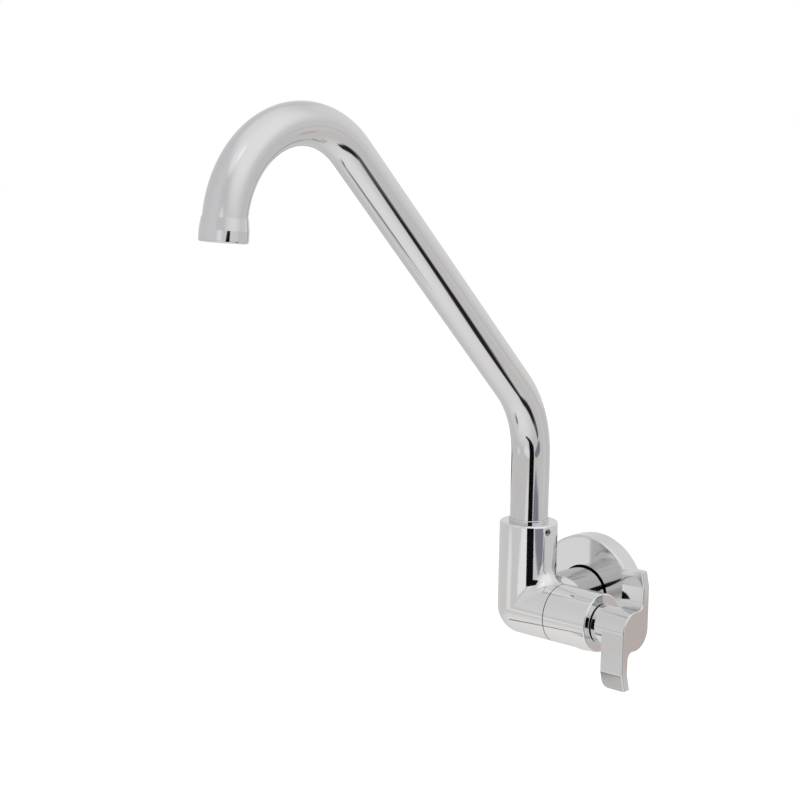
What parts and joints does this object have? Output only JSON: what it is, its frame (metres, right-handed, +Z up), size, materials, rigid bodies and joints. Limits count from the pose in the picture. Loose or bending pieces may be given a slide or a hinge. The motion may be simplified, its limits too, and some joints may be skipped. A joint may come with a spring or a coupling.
{
  "type": "wall tap",
  "caption": "Chromed wall tap with a high swivel gooseneck spout, a wall flange and a winged quarter-turn lever.",
  "frame": {"origin": "centre of the inlet on the wall plane, which is the back of the wall flange", "axes": "+Y into the wall along the inlet, +Z up along the swivel axis, +X towards the lever along the valve axis"},
  "size_m": [0.105, 0.3175, 0.324],
  "materials": {
    "chrome": "polished chrome plate on brass",
    "brass": "turned brass",
    "rubber": "black nitrile rubber",
    "foam": "closed-cell foam",
    "ceramic": "lapped alumina",
    "white_plastic": "moulded acetal",
    "steel": "stainless steel"
  },
  "bodies": {
    "tap_body": {"body_casting": "chrome", "wall_flange": "chrome", "flange_seal": "foam", "headwork_housing": "brass", "headwork_gasket": "rubber", "seat_seal": "rubber", "fixed_disc": "ceramic", "valve_sleeve": "chrome", "spout_grub_screw": "steel", "socket_lip_ring": "chrome"},
    "lever": {"lever_handle": "chrome", "handle_grub_screw": "steel", "spindle": "brass", "turning_disc": "ceramic", "spindle_o_ring_inner": "rubber", "spindle_o_ring_outer": "rubber", "spindle_washer": "white_plastic", "spindle_clip": "steel"},
    "spout": {"spout_tube": "chrome", "spout_spigot": "brass", "spout_o_ring_lower": "rubber", "spout_o_ring_upper": "rubber", "guide_ring_lower": "white_plastic", "guide_ring_upper": "white_plastic", "aerator_shell": "chrome", "aerator_washer": "rubber", "aerator_cup": "white_plastic", "aerator_insert": "white_plastic", "aerator_screen": "steel"}
  },
  "joints": [
    {"name": "spout_swivel", "type": "hinge", "parent": "tap_body", "child": "spout", "pos_m": [-0.008, -0.056, 0.036], "axis": [0, 0, 1], "range_deg": [-100, 100]},
    {"name": "lever_turn", "type": "hinge", "parent": "tap_body", "child": "lever", "pos_m": [0.03, -0.056, 0], "axis": [1, 0, 0], "range_deg": [0, 90]}
  ]
}
